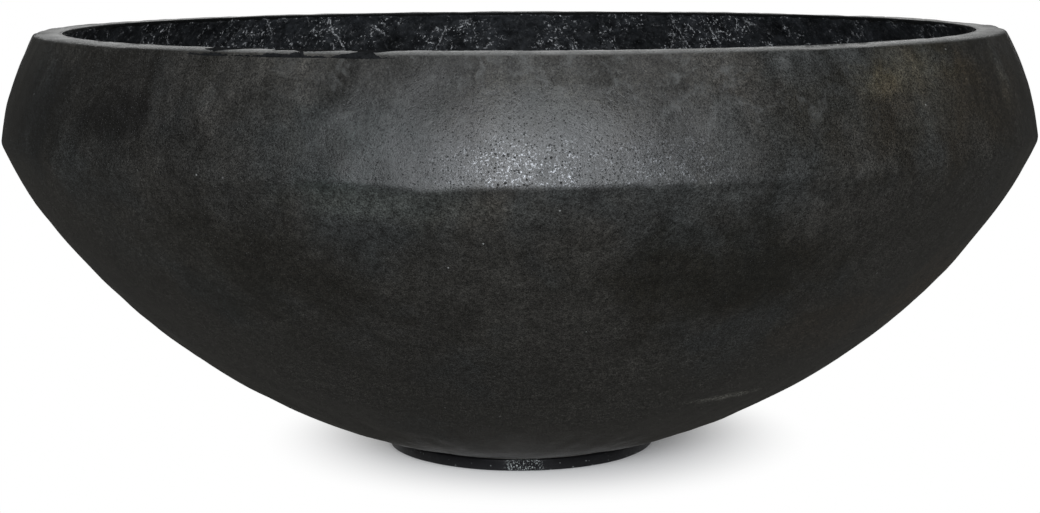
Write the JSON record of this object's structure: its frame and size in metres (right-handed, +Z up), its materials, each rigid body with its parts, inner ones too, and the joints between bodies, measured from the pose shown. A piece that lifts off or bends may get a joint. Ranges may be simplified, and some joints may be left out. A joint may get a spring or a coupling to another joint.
{
  "type": "bowl planter",
  "caption": "Wide round concrete bowl planter with an in-turned band, flat rim, low round foot, waterproofed inside and a stoppered floor drain.",
  "frame": {"origin": "on the ground, on the bowl's axis, in the plane of the four rubber pads' undersides", "axes": "+Z up along the bowl's axis; the bowl is round, and the pads lie on the diagonals between X and Y"},
  "size_m": [1.2198, 1.2198, 0.508],
  "materials": {
    "concrete": "smooth cast charcoal concrete, cloudy, lightly sealed, satin",
    "black_coating": "rough brushed black waterproof coat, semi-gloss",
    "coated_foot": "concrete under a black coat, semi-gloss, worn in places",
    "mortar": "grey mortar, matt",
    "sleeve_plastic": "dark grey moulded plastic",
    "stopper_rubber": "black moulded rubber",
    "pad_rubber": "black rubber, matt"
  },
  "bodies": {
    "planter": {"bowl_shell": "concrete", "inner_coating": "black_coating", "foot_ring": "coated_foot", "foot_bed": "mortar", "drain_sleeve": "sleeve_plastic", "foot_pad_1": "pad_rubber", "foot_pad_2": "pad_rubber", "foot_pad_3": "pad_rubber", "foot_pad_4": "pad_rubber"},
    "stopper": {"drain_plug": "stopper_rubber"}
  },
  "joints": [
    {"name": "stopper_pull", "type": "slide", "parent": "planter", "child": "stopper", "axis": [0, 0, 1], "range_m": [0, 0.52]}
  ]
}
